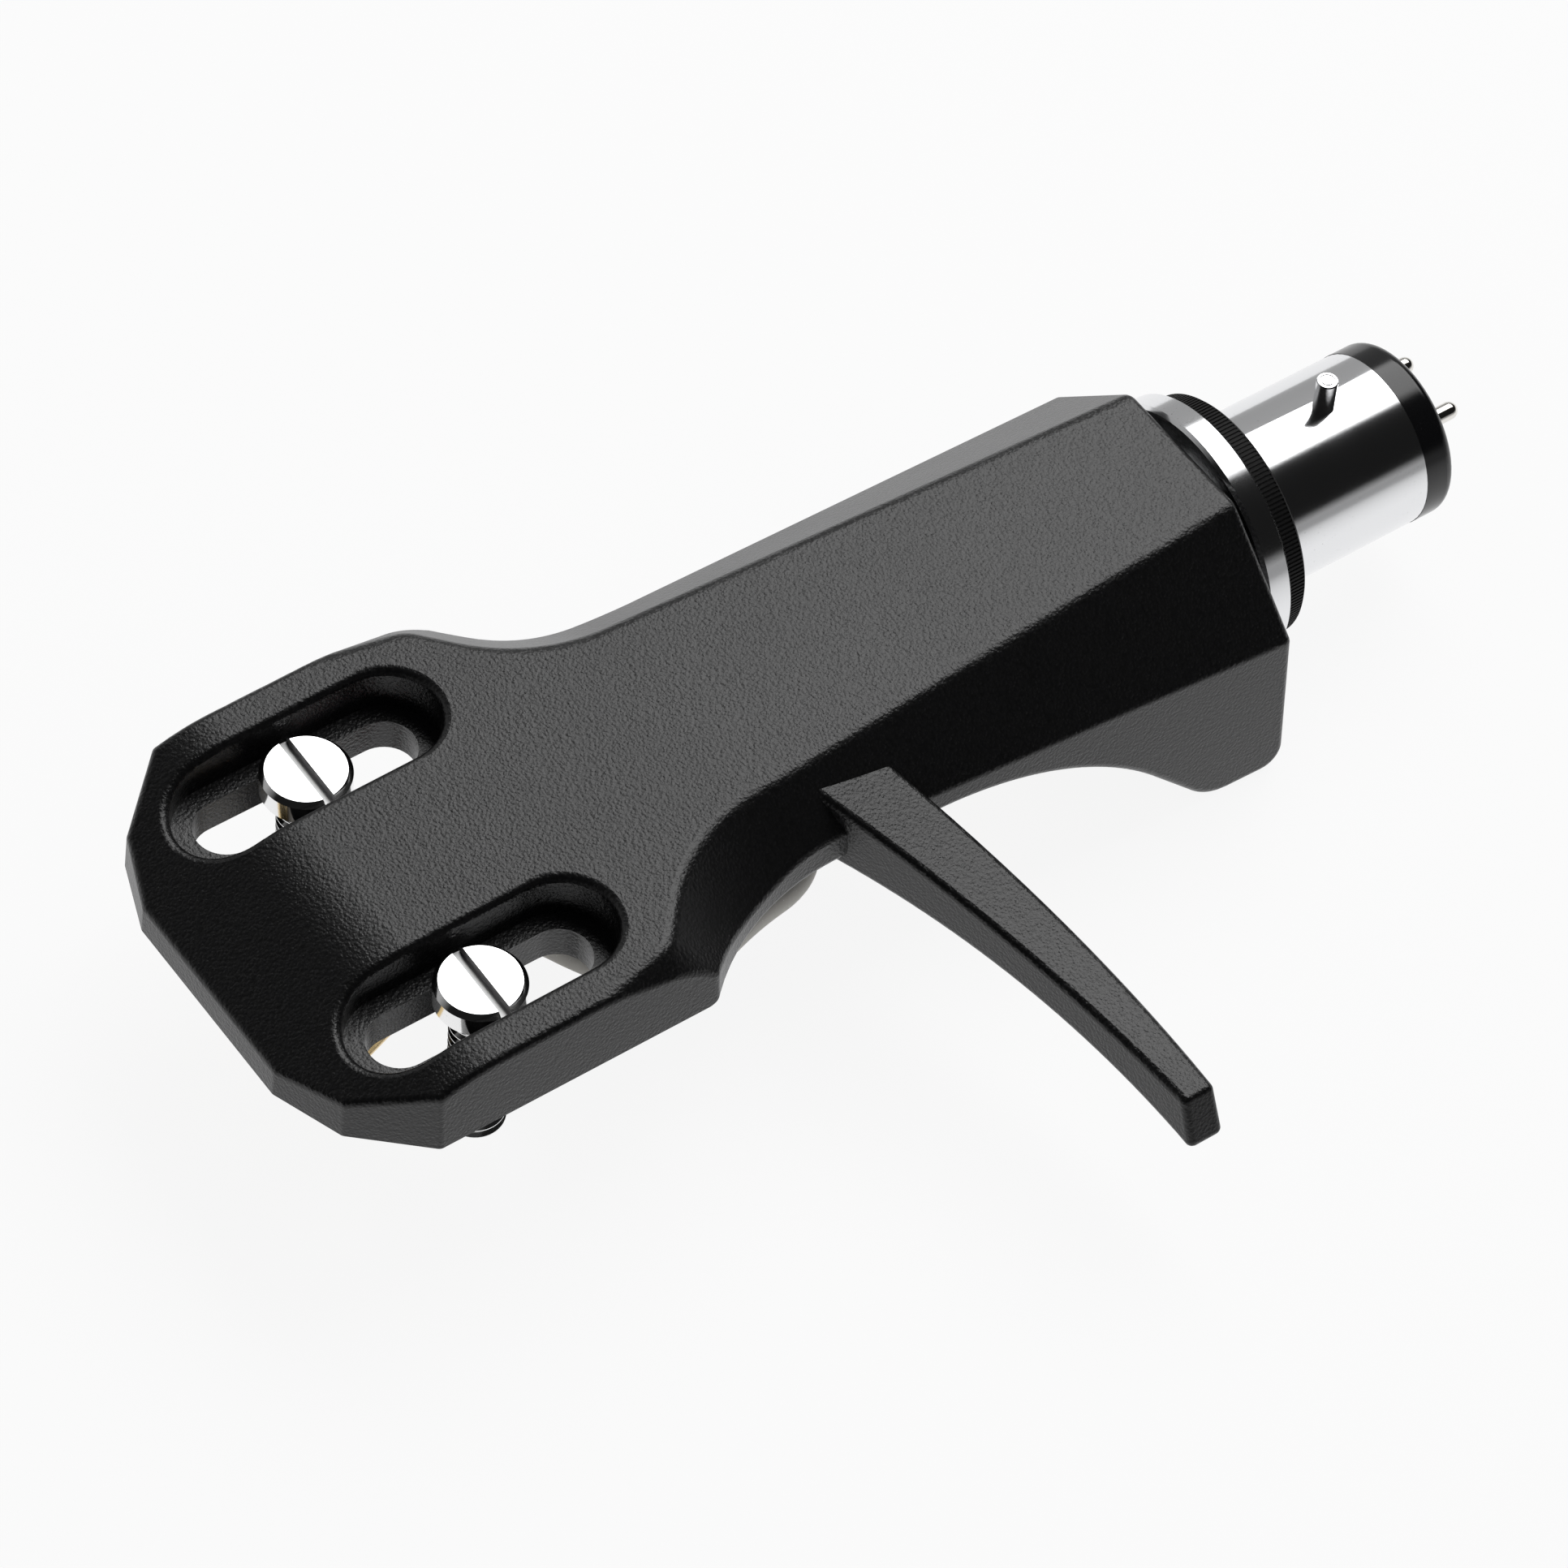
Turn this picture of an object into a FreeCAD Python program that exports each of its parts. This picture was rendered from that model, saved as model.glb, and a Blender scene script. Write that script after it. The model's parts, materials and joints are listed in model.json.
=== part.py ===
"""Turntable headshell with a bayonet plug, an integral finger lift and its four leads.

The head and neck are one die casting.  X runs from the nose (-X) to the plug (+X), the
finger lift points to -Y and Z is up.  The origin lies on the plug's axis, in the plane
where the rubber washer seats against the tonearm's socket.
"""
import FreeCAD, Part

import math
import os

from FreeCAD import Vector

DOC = FreeCAD.newDocument("headshell")
SHEET = DOC.addObject("Spreadsheet::Sheet", "sizes")

# Driving dimensions in millimetres, angles in degrees.
SIZES = {
    # bayonet plug
    "tube_radius": 4.0,
    "tube_wall": 0.6,
    "tube_exposed": 7.85,
    "tube_inside": 14.6,
    "collar_radius": 6.1,
    "collar_thick": 1.3,
    "collar_bevel": 0.15,
    "hub_radius": 4.7,
    "hub_thick": 0.4,
    "washer_radius": 5.62,
    "washer_thick": 1.1,
    "key_radius": 0.48,
    "key_height": 1.65,
    "key_reach": 4.75,
    "cap_radius": 4.02,
    "cap_thick": 1.55,
    "cap_round": 0.5,
    "contact_radius": 0.4,
    "contact_pitch": 3.06,
    "contact_tip": 1.75,
    "contact_post": 3.6,
    # head
    "nose_reach": 51.4,
    "nose_half": 4.85,
    "cheek_back": 1.2,
    "cheek_half": 8.05,
    "side_back": 4.1,
    "head_half": 10.7,
    "head_top": 5.3,
    "head_bottom": 1.65,
    "bend_back": 5.3,
    "bend_radius": 8.0,
    "nose_slope": 22.0,
    # slots for the cartridge screws
    "slot_back": 8.8,
    "slot_pitch": 12.7,
    "slot_travel": 7.6,
    "slot_width": 2.8,
    "recess_width": 4.5,
    "ledge_thick": 1.65,
    "recess_draft": 3.0,
    "rim_round": 0.35,
    "top_round": 0.8,
    "edge_round": 0.35,
    # waist and neck
    "waist_back": 25.75,
    "waist_radius": 11.5,
    "waist_half": 7.5,
    "wall_angle": 1.65,
    "wall_draft": 3.0,
    "flank_back": 22.8,
    "flank_half": 5.45,
    "flank_taper": 2.3,
    "flank_radius": 8.0,
    "flank_turn": 48.0,
    "shoulder_back": 10.6,
    "shoulder_angle": 11.0,
    "shoulder_round": 0.4,
    "neck_top": 6.1,
    "neck_rear": 2.95,
    "rear_lean": 1.4,
    "boss_radius": 5.6,
    "boss_length": 0.1,
    # skirts under the neck
    "skirt_start": 21.0,
    "skirt_radius": 16.0,
    "skirt_turn": 46.0,
    "skirt_bottom": 6.2,
    "skirt_round": 2.5,
    "heel_round": 1.2,
    # hollow under the neck
    "wall_thick": 1.7,
    "roof_thick": 1.9,
    "hollow_back": 20.9,
    "hollow_round": 2.5,
    "socket_length": 10.6,
    "socket_radius": 5.4,
    # finger lift
    "lift_reach": 24.9,
    "lift_tip_back": 30.85,
    "lift_tip_top": 1.8,
    "lift_plan_radius": 51.0,
    "lift_drop_radius": 68.0,
    "lift_turn": 25.0,
    "lift_root_width": 3.65,
    "lift_tip_width": 1.55,
    "lift_root_thick": 4.1,
    "lift_tip_thick": 2.4,
    "lift_arch": 1.0,
    "lift_flare": 0.05,
    "lift_tip_lean": 1.0,
    "lift_round": 0.3,
    # cartridge screws
    "screw_radius": 1.25,
    "screw_length": 8.4,
    "screw_head_radius": 1.93,
    "screw_head_height": 1.2,
    "screw_bevel": 0.22,
    "screw_slot_width": 0.5,
    "screw_slot_depth": 0.6,
    "screw_slot_angle": 89.0,
    # screw that holds the tube
    "grub_reach": 8.6,
    "grub_radius": 1.3,
    "grub_proud": 0.4,
    # leads
    "lead_radius": 0.5,
    "clip_radius": 0.72,
    "clip_length": 4.8,
    "clip_bore": 0.52,
    "clip_bore_depth": 3.6,
}

for row, (alias, value) in enumerate(SIZES.items(), start=1):
    SHEET.set(f"A{row}", alias)
    SHEET.set(f"B{row}", str(value))
    SHEET.setAlias(f"B{row}", alias)
DOC.recompute()


# distances from the plug's seat that are set back from the nose, so that the head moves as one
SET_BACK = {f"{name}_reach": f"{name}_back" for name in (
    "cheek", "side", "bend", "slot", "waist", "flank", "shoulder", "hollow", "lift_tip")}


def size(alias):
    """Value of one driving dimension, or of a distance that is set back from the nose."""
    if alias in SET_BACK:
        return size("nose_reach") - size(SET_BACK[alias])
    return float(SHEET.get(alias))


def bind(obj, **expressions):
    """Tie properties of an object to the sheet; the words in each text are aliases."""
    for prop, text in expressions.items():
        for alias in sorted(SIZES, key=len, reverse=True):
            text = replace_word(text, alias)
        obj.setExpression(prop.replace("_at_", ".Base."), text)
    return obj


def replace_word(text, alias):
    """Write one alias as a reference to the sheet's cell."""
    words = []
    for word in text.split(" "):
        words.append(f"sizes.{alias}" if word == alias else word)
    return " ".join(words)


X_AXIS = FreeCAD.Rotation(Vector(0, 1, 0), 90)


def along_x(kind, name, start, y="0", z="0", **expressions):
    """A primitive whose axis runs along +X from the plane x = start."""
    obj = DOC.addObject(kind, name)
    obj.Placement.Rotation = X_AXIS
    return bind(obj, Placement_at_x=start, Placement_at_y=y, Placement_at_z=z, **expressions)


def upright(kind, name, x, y, z, **expressions):
    """A primitive whose axis runs up from (x, y, z)."""
    obj = DOC.addObject(kind, name)
    return bind(obj, Placement_at_x=x, Placement_at_y=y, Placement_at_z=z, **expressions)


def fuse(name, *shapes):
    """One solid of several."""
    obj = DOC.addObject("Part::MultiFuse", name)
    obj.Shapes = list(shapes)
    obj.Refine = True
    return obj


def cut(name, base, tool):
    """One shape less another."""
    obj = DOC.addObject("Part::Cut", name)
    obj.Base, obj.Tool = base, tool
    obj.Refine = True
    return obj


def solid(name, shape):
    """A sub-part whose form is worked out below."""
    obj = DOC.addObject("Part::Feature", name)
    obj.Shape = shape
    obj.Placement = FreeCAD.Placement()
    return obj


# The casting: outline, flanks and side profile


def meet(first, second, offset):
    """Where two lines of a plan meet after both move outwards by the offset.

    A line is its outward normal and its distance from the origin.
    """
    (n1x, n1y, d1), (n2x, n2y, d2) = first, second
    d1, d2 = d1 + offset, d2 + offset
    det = n1x * n2y - n2x * n1y
    return (d1 * n2y - d2 * n1y) / det, (n1x * d2 - n2x * d1) / det


def side_line(a, b):
    """Line from a to b, going towards the nose on the +Y side."""
    length = math.dist(a, b)
    nx, ny = (b[1] - a[1]) / length, -(b[0] - a[0]) / length
    return nx, ny, nx * a[0] + ny * a[1]


def plan_wire(points, arcs, level):
    """Closed wire of a plan that mirrors about the X axis.

    points runs from the rear to the nose on the +Y side; arcs maps the index of a
    point to the middle of the arc that leads from it to the next one.
    """
    def place(xy, side):
        return Vector(xy[0], side * xy[1], level)

    edges = []
    for side in (1, -1):
        chain = []
        for i in range(len(points) - 1):
            a, b = place(points[i], side), place(points[i + 1], side)
            if i in arcs:
                chain.append(Part.Arc(a, place(arcs[i], side), b).toShape())
            else:
                chain.append(Part.makeLine(a, b))
        edges.append(chain)
    nose = Part.makeLine(place(points[-1], 1), place(points[-1], -1))
    rear = Part.makeLine(place(points[0], -1), place(points[0], 1))
    return Part.Wire(edges[0] + [nose] + edges[1][::-1] + [rear])


def wall_plan(level):
    """Outline of the side walls at a height; the draft widens it downwards."""
    offset = (size("head_bottom") - level) * math.tan(math.radians(size("wall_draft")))
    tilt = math.radians(size("wall_angle"))
    radius = size("waist_radius") - offset
    start = (-size("waist_reach"), size("waist_half"))
    centre = (start[0] - size("waist_radius") * math.sin(tilt),
              start[1] + size("waist_radius") * math.cos(tilt))
    rear_x = 2 * size("boss_length")
    rear_y = start[1] + offset / math.cos(tilt) + (rear_x - start[0]) * math.tan(tilt)
    neck_end = (centre[0] + radius * math.sin(tilt), centre[1] - radius * math.cos(tilt))
    turn = math.acos((centre[1] - size("head_half") - offset) / radius)
    middle = (turn - tilt) / 2
    waist_middle = (centre[0] - radius * math.sin(middle), centre[1] - radius * math.cos(middle))
    waist_end = (centre[0] - radius * math.sin(turn), centre[1] - radius * math.cos(turn))

    cheek = (-size("cheek_reach"), size("cheek_half"))
    side = (0.0, 1.0, size("head_half"))
    outer_facet = side_line((-size("side_reach"), size("head_half")), cheek)
    inner_facet = side_line(cheek, (-size("nose_reach"), size("nose_half")))
    front = (-1.0, 0.0, size("nose_reach"))
    points = [(rear_x, rear_y), neck_end, waist_end,
              meet(side, outer_facet, offset),
              meet(outer_facet, inner_facet, offset),
              meet(inner_facet, front, offset)]
    return plan_wire(points, {1: waist_middle}, level)


def flank_plan(level):
    """Outline of the 45 degree flanks at a height, from the neck to the shoulders."""
    ceiling = size("neck_top") + size("shoulder_round")
    offset = size("head_top") - level
    turn, slant = math.radians(size("flank_turn")), math.radians(size("shoulder_angle"))
    taper = math.radians(size("flank_taper"))
    radius = size("flank_radius") - offset
    centre = (-size("flank_reach") + size("flank_radius") * math.sin(taper),
              size("flank_half") + size("flank_radius") * math.cos(taper))

    def on_waist(angle):
        return centre[0] - radius * math.sin(angle), centre[1] - radius * math.cos(angle)

    neck_end, waist_end = on_waist(taper), on_waist(turn)
    rear_x = size("washer_radius")
    rear_y = neck_end[1] - (rear_x - neck_end[0]) * math.tan(taper)

    rise = (math.sin(turn), math.cos(turn),
            math.sin(turn) * centre[0] + math.cos(turn) * centre[1] - size("flank_radius"))
    shoulder = (math.sin(slant), math.cos(slant),
                -math.sin(slant) * size("shoulder_reach") + math.cos(slant) * size("head_half"))
    corner = meet(rise, shoulder, size("head_top") - ceiling - size("shoulder_round"))
    corner_radius = size("shoulder_round") + ceiling - level

    def on_corner(angle):
        return (corner[0] + corner_radius * math.sin(angle),
                corner[1] + corner_radius * math.cos(angle))

    front_x = -size("nose_reach") - size("cap_radius")
    front_y = (shoulder[2] + offset - shoulder[0] * front_x) / shoulder[1]
    points = [(rear_x, rear_y), neck_end, waist_end,
              on_corner(turn), on_corner(slant), (front_x, front_y)]
    return plan_wire(points, {1: on_waist((taper + turn) / 2),
                              3: on_corner((turn + slant) / 2)}, level)


def top_height(x):
    """Height of the top face, which rises a little from the slots to the rear."""
    run = size("slot_reach") - size("neck_rear")
    return size("head_top") + (size("neck_top") - size("head_top")) * (x + size("slot_reach")) / run


def side_profile():
    """Face of the casting seen from the side, in the XZ plane."""
    def at(x, z):
        return Vector(x, 0, z)

    def arc(a, m, b):
        return Part.Arc(a, m, b).toShape()

    # top face, soft bend and nose slope
    rise = math.atan2(top_height(0) - top_height(-1), 1)
    slope = math.radians(size("nose_slope"))
    bend_x = -size("bend_reach")
    bend = at(bend_x, top_height(bend_x))
    tangent = size("bend_radius") * math.tan((slope - rise) / 2)
    bend_rear = bend + Vector(math.cos(rise), 0, math.sin(rise)) * tangent
    bend_front = bend - Vector(math.cos(slope), 0, math.sin(slope)) * tangent
    centre = bend_rear - Vector(-math.sin(rise), 0, math.cos(rise)) * size("bend_radius")
    bend_middle = centre + (bend - centre).normalize() * size("bend_radius")
    front_x = -size("nose_reach") - size("nose_half") / 4
    nose_top = at(front_x, bend.z - (bend_x - front_x) * math.tan(slope))

    # underside: flat plate, then the skirts sweep down to the heel
    bottom = size("head_bottom")
    start = at(-size("skirt_start"), bottom)
    sweep, radius = math.radians(size("skirt_turn")), size("skirt_radius")
    sweep_middle = start + Vector(radius * math.sin(sweep / 2), 0, -radius * (1 - math.cos(sweep / 2)))
    sweep_end = start + Vector(radius * math.sin(sweep), 0, -radius * (1 - math.cos(sweep)))
    down = Vector(math.cos(sweep), 0, -math.sin(sweep))
    toe = sweep_end + down * ((sweep_end.z + size("skirt_bottom")) / math.sin(sweep))
    toe_tangent = size("skirt_round") * math.tan(sweep / 2)
    toe_front, toe_rear = toe - down * toe_tangent, toe + Vector(toe_tangent, 0, 0)
    toe_centre = toe_rear + Vector(0, 0, size("skirt_round"))
    toe_middle = toe_centre + (toe - toe_centre).normalize() * size("skirt_round")

    # rear face leans back a little; the heel is rounded
    lean = math.radians(size("rear_lean"))
    rear_x = -size("neck_rear")
    rear_top = at(rear_x, top_height(rear_x))
    height = rear_top.z + size("skirt_bottom")
    heel = at(rear_x + height * math.tan(lean), -size("skirt_bottom"))
    up = Vector(-math.sin(lean), 0, math.cos(lean))
    heel_tangent = size("heel_round") * math.tan(math.radians(90 - size("rear_lean")) / 2)
    heel_front, heel_rear = heel - Vector(heel_tangent, 0, 0), heel + up * heel_tangent
    heel_centre = heel_front + Vector(0, 0, size("heel_round"))
    heel_middle = heel_centre + (heel - heel_centre).normalize() * size("heel_round")

    wire = Part.Wire([
        Part.makeLine(rear_top, bend_rear),
        arc(bend_rear, bend_middle, bend_front),
        Part.makeLine(bend_front, nose_top),
        Part.makeLine(nose_top, at(front_x, bottom)),
        Part.makeLine(at(front_x, bottom), start),
        arc(start, sweep_middle, sweep_end),
        Part.makeLine(sweep_end, toe_front),
        arc(toe_front, toe_middle, toe_rear),
        Part.makeLine(toe_rear, heel_front),
        arc(heel_front, heel_middle, heel_rear),
        Part.makeLine(heel_rear, rear_top),
    ])
    return Part.Face(wire)


def corner_angle(shape, edge):
    """Angle in degrees between the two faces that meet along an edge."""
    middle = edge.valueAt((edge.FirstParameter + edge.LastParameter) / 2)
    normals = [face.normalAt(*face.Surface.parameter(middle))
               for face in shape.ancestorsOfType(edge, Part.Face)]
    return math.degrees(normals[0].getAngle(normals[1])) if len(normals) == 2 else 0.0


def rounded_blank(blank):
    """The blank with its long top edges well rounded and every other corner broken."""
    def on_top(edge):
        return all(abs(vertex.Z - top_height(vertex.X)) < 0.02 for vertex in edge.Vertexes)

    ridges = [edge for edge in blank.Edges
              if on_top(edge) and 20 < corner_angle(blank, edge) < 60]
    body = blank.makeFillet(size("top_round"), ridges)

    def in_seat(edge):
        box = edge.BoundBox
        return box.ZLength < 0.1 and abs(box.ZMax - size("head_bottom")) < 0.1

    corners = [edge for edge in body.Edges if corner_angle(body, edge) > 15 and not in_seat(edge)]
    return body.makeFillet(size("edge_round"), corners)


def casting_blank():
    """Head and neck without slots, hollow or lift."""
    ceiling = size("neck_top") + size("shoulder_round")
    floor = -size("skirt_bottom") - size("heel_round")
    width = 2 * size("head_half") + size("collar_radius")
    walls = Part.makeLoft([wall_plan(floor), wall_plan(ceiling)], True, True)
    profile = side_profile()
    profile.translate(Vector(0, -width / 2, 0))
    blank = walls.common(profile.extrude(Vector(0, width, 0)))

    # everything outside the flanks goes, down to where they are wider than the walls
    reach = size("head_half") - size("flank_half") + size("ledge_thick")
    low = size("head_top") - min(reach, 0.6 * size("flank_radius"))
    flanks = Part.makeLoft([flank_plan(low), flank_plan(ceiling)], True, True)
    box = flanks.BoundBox
    slab = Part.makeBox(box.XLength - 1, width, ceiling - low,
                        Vector(box.XMin + 0.5, -width / 2, low))
    return rounded_blank(blank.cut(slab.cut(flanks)))


def lift_station(share):
    """Middle of the finger lift's top edge and its direction outwards, from tip (0) to root (1)."""
    turn = math.radians(size("lift_turn")) * share
    radius = size("lift_plan_radius")
    length = radius * turn
    drop = size("lift_drop_radius")
    point = Vector(-size("lift_tip_reach") - radius * (1 - math.cos(turn)),
                   -size("lift_reach") + radius * math.sin(turn),
                   size("lift_tip_top") + drop * (1 - math.cos(length / drop)))
    return point, Vector(math.sin(turn), -math.cos(turn), 0)


def finger_lift():
    """Tapering curved blade, a loft through five upright sections."""
    sections = []
    for share in (1.0, 0.75, 0.5, 0.25, 0.0):
        point, out = lift_station(share)
        across = Vector(0, 0, 1).cross(out)
        half = (size("lift_tip_width") + (size("lift_root_width") - size("lift_tip_width")) * share) / 2
        thick = (size("lift_tip_thick") + (size("lift_root_thick") - size("lift_tip_thick")) * share
                 - size("lift_arch") * 4 * share * (1 - share))
        down = Vector(0, 0, -thick) + out * size("lift_tip_lean") * (1 - share)
        foot = half + size("lift_flare")
        corners = [point - across * half, point + across * half,
                   point + down + across * foot, point + down - across * foot]
        sections.append(Part.makePolygon(corners + corners[:1]))
    blade = Part.makeLoft(sections, True, False)
    root = max(edge.CenterOfMass.y for edge in blade.Edges)
    return blade.makeFillet(size("lift_round"),
                            [edge for edge in blade.Edges if edge.CenterOfMass.y < root - 1])


def stadium(x, y, z, travel, width, height, draft=0.0):
    """Upright solid with the plan of a slot along X, wider at the top where it has a draft."""
    def outline(level):
        half, radius = travel / 2, width / 2 + (level - z) * math.tan(math.radians(draft))
        a, b = Vector(x - half, y - radius, level), Vector(x + half, y - radius, level)
        c, d = Vector(x + half, y + radius, level), Vector(x - half, y + radius, level)
        return Part.Wire([
            Part.makeLine(a, b), Part.Arc(b, Vector(x + half + radius, y, level), c).toShape(),
            Part.makeLine(c, d), Part.Arc(d, Vector(x - half - radius, y, level), a).toShape()])

    return Part.makeLoft([outline(z), outline(z + height)], True, True)


def rim_edges(body, recess):
    """Edges where a recess opens into the top face."""
    box = recess.BoundBox
    return [edge for edge in body.Edges
            if edge.BoundBox.ZMin > ledge_height() + size("rim_round") and box.isInside(edge.BoundBox)
            and corner_angle(body, edge) > 15]


def ledge_height():
    """Height of the ledges that the screw heads sit on."""
    return size("head_bottom") + size("ledge_thick")


def neck_hollow():
    """Open space under the neck, its roof and sides parallel to the outside."""
    wall = size("wall_thick")
    half = size("waist_half") - wall
    roof = top_height(-size("hollow_reach")) - size("roof_thick")
    diagonal = wall * math.sqrt(2)
    roof_half = size("flank_half") + size("head_top") - roof - diagonal
    bend = size("flank_half") + size("head_top") - diagonal - half
    floor = -size("skirt_bottom") - 1
    front, rear = -size("hollow_reach"), -size("neck_rear") - size("socket_length")
    section = [(half, floor), (half, bend), (roof_half, roof),
               (-roof_half, roof), (-half, bend), (-half, floor)]
    points = [Vector(front, y, z) for y, z in section]
    bar = Part.Face(Part.makePolygon(points + points[:1])).extrude(Vector(rear - front, 0, 0))

    # rounded front corners in plan
    radius = size("hollow_round")
    middle = radius * (1 - math.sqrt(0.5))
    plan = Part.Wire([
        Part.makeLine(Vector(rear, half, floor), Vector(front + radius, half, floor)),
        Part.Arc(Vector(front + radius, half, floor), Vector(front + middle, half - middle, floor),
                 Vector(front, half - radius, floor)).toShape(),
        Part.makeLine(Vector(front, half - radius, floor), Vector(front, radius - half, floor)),
        Part.Arc(Vector(front, radius - half, floor), Vector(front + middle, middle - half, floor),
                 Vector(front + radius, -half, floor)).toShape(),
        Part.makeLine(Vector(front + radius, -half, floor), Vector(rear, -half, floor)),
        Part.makeLine(Vector(rear, -half, floor), Vector(rear, half, floor)),
    ])
    well = Part.Face(plan).extrude(Vector(0, 0, roof - floor))

    # beside the socket the space between the two skirts stays open up to the neck's underside
    under = Part.makeBox(size("socket_length") + size("neck_rear") + size("boss_length"), 2 * half,
                         size("head_bottom") - floor, Vector(rear, -half, floor))
    return bar.common(well).fuse(under)


def casting():
    """The finished casting."""
    body = casting_blank().fuse(finger_lift())
    rear = -size("neck_rear")
    boss = Part.makeCylinder(size("boss_radius"), size("neck_rear") - size("collar_thick")
                             - size("washer_thick") - size("hub_thick") + size("boss_length"),
                             Vector(rear - size("boss_length"), 0, 0), Vector(1, 0, 0))
    socket = Part.makeCylinder(size("socket_radius"), size("socket_length") + size("boss_length"),
                               Vector(rear - size("socket_length"), 0, 0), Vector(1, 0, 0))
    web = Part.makeBox(size("boss_length") + size("ledge_thick"), 2 * size("waist_half"),
                       size("socket_radius") + size("head_bottom"),
                       Vector(rear - size("ledge_thick"), -size("waist_half"), -size("socket_radius")))
    body = body.cut(neck_hollow()).fuse(socket.fuse(web)).fuse(boss)
    body = body.cut(Part.makeCylinder(size("tube_radius"), size("tube_inside"),
                                      Vector(-size("tube_inside"), 0, 0), Vector(1, 0, 0)))
    body = body.cut(Part.makeCylinder(size("grub_radius"), size("tube_radius"),
                                      Vector(-size("grub_reach"), 0, -size("tube_radius")),
                                      Vector(0, 0, -1)))
    depth = size("neck_top")
    for y in (-size("slot_pitch") / 2, size("slot_pitch") / 2):
        x = -size("slot_reach")
        recess = stadium(x, y, ledge_height(), size("slot_travel"), size("recess_width"), depth,
                         size("recess_draft"))
        body = body.cut(recess)
        body = body.makeFillet(size("rim_round"), rim_edges(body, recess))
        body = body.cut(stadium(x, y, 0, size("slot_travel"), size("slot_width"), depth))
    body = body.removeSplitter()
    return body.Solids[0] if len(body.Solids) == 1 else body


shell = solid("shell", casting())

# Bayonet plug

collar_front = "- washer_thick - collar_thick"
tube = fuse(
    "plug_body",
    along_x("Part::Cylinder", "tube_outside", "- tube_inside",
            Radius="tube_radius", Height="tube_inside + tube_exposed"),
    along_x("Part::Cylinder", "hub", collar_front + " - hub_thick",
            Radius="hub_radius", Height="hub_thick + collar_thick"),
    along_x("Part::Cone", "collar_front_bevel", collar_front,
            Radius1="collar_radius - collar_bevel", Radius2="collar_radius", Height="collar_bevel"),
    along_x("Part::Cylinder", "collar", collar_front + " + collar_bevel",
            Radius="collar_radius", Height="collar_thick - 2 * collar_bevel"),
    along_x("Part::Cone", "collar_rear_bevel", "- washer_thick - collar_bevel",
            Radius1="collar_radius", Radius2="collar_radius - collar_bevel", Height="collar_bevel"),
)
tube = cut("plug_tube_open", tube, along_x(
    "Part::Cylinder", "tube_bore", "- tube_inside",
    Radius="tube_radius - tube_wall", Height="tube_inside + tube_exposed"))
key_hole = upright("Part::Cylinder", "key_hole", "key_reach", "0", "tube_radius - tube_wall - 0.1",
                   Radius="key_radius", Height="tube_wall + key_height")
tube = cut("plug_tube", tube, key_hole)

key = fuse(
    "locating_pin",
    upright("Part::Cylinder", "key_shank", "key_reach", "0", "tube_radius - tube_wall",
            Radius="key_radius", Height="tube_wall + 0.9 * key_height"),
    upright("Part::Cone", "key_bevel", "key_reach", "0", "tube_radius + 0.9 * key_height",
            Radius1="key_radius", Radius2="0.8 * key_radius", Height="0.1 * key_height"),
)

washer = cut(
    "rubber_washer",
    along_x("Part::Cylinder", "washer_outside", "- washer_thick",
            Radius="washer_radius", Height="washer_thick"),
    along_x("Part::Cylinder", "washer_bore", "- washer_thick",
            Radius="tube_radius", Height="washer_thick"),
)

cap = along_x("Part::Cylinder", "insulator_cap", "tube_exposed",
              Radius="cap_radius", Height="cap_thick")
DOC.recompute()
rim = max(range(len(cap.Shape.Edges)), key=lambda i: cap.Shape.Edges[i].BoundBox.XMin) + 1
cap_rounded = DOC.addObject("Part::Fillet", "insulator_cap_rounded")
cap_rounded.Base = cap
cap_rounded.Edges = [(rim, min(size("cap_round"), 0.9 * size("cap_thick")),
                      min(size("cap_round"), 0.9 * size("cap_thick")))]
insulator = fuse(
    "insulator_body",
    along_x("Part::Cylinder", "insulator_core", "- tube_inside",
            Radius="tube_radius - tube_wall", Height="tube_inside + tube_exposed"),
    cap_rounded,
)

CHANNELS = {
    # name: side of the contact in Y, side in Z
    "white": (-1, 1),
    "blue": (-1, -1),
    "red": (1, 1),
    "green": (1, -1),
}
contact_holes = []
contacts = {}
for name, (side, level) in CHANNELS.items():
    y, z = f"{side} * contact_pitch / 2", f"{level} * contact_pitch / 2"
    contact_holes.append(along_x(
        "Part::Cylinder", f"contact_hole_{name}", "- tube_inside", y, z,
        Radius="contact_radius", Height="tube_inside + tube_exposed + cap_thick"))
    shank = along_x(
        "Part::Cylinder", f"contact_shank_{name}", "- tube_inside - contact_post", y, z,
        Radius="contact_radius",
        Height="contact_post + tube_inside + tube_exposed + cap_thick + contact_tip - contact_radius")
    dome = along_x("Part::Sphere", f"contact_dome_{name}",
                   "tube_exposed + cap_thick + contact_tip - contact_radius", y, z,
                   Radius="contact_radius")
    contacts[name] = fuse(f"contact_pin_{name}", shank, dome)
insulator = cut("contact_insulator", insulator, fuse("contact_holes", *contact_holes))

# Screws


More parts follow.
